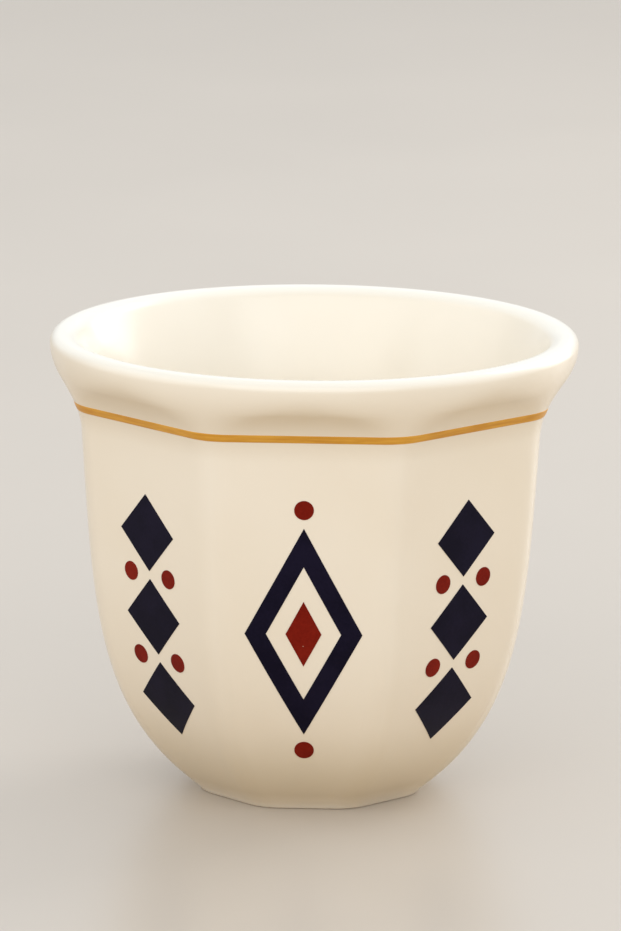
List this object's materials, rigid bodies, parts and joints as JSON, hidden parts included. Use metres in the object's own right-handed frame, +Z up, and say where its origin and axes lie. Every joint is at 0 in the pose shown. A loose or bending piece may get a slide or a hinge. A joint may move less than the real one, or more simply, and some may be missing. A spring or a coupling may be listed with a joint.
{
  "type": "espresso cup",
  "caption": "Handle-less cream porcelain coffee cup with soft upright facets, a small foot, a thick round flared lip, a gold line at the neck and geometric navy and red transfers.",
  "frame": {"origin": "centre of the foot ring, on the surface that the cup stands on", "axes": "+Z up along the cup's axis; -Y square out of the middle of the front facet"},
  "size_m": [0.066, 0.066, 0.058],
  "materials": {
    "porcelain": "glossy cream-white glaze, unglazed on the foot ring",
    "gold_enamel": "flat ochre-gold enamel line, satin gloss",
    "navy_enamel": "dark navy transfer enamel, glossy",
    "red_enamel": "brick-red transfer enamel, glossy"
  },
  "bodies": {
    "root": {"cup_body": "porcelain", "neck_line": "gold_enamel", "navy_lozenges_1": "navy_enamel", "navy_lozenges_2": "navy_enamel", "navy_lozenges_3": "navy_enamel", "navy_lozenges_4": "navy_enamel", "navy_lozenges_5": "navy_enamel", "navy_lozenges_6": "navy_enamel", "navy_lozenges_7": "navy_enamel", "navy_lozenges_8": "navy_enamel", "red_accents_1": "red_enamel", "red_accents_2": "red_enamel", "red_accents_3": "red_enamel", "red_accents_4": "red_enamel", "red_accents_5": "red_enamel", "red_accents_6": "red_enamel", "red_accents_7": "red_enamel", "red_accents_8": "red_enamel"}
  },
  "joints": []
}
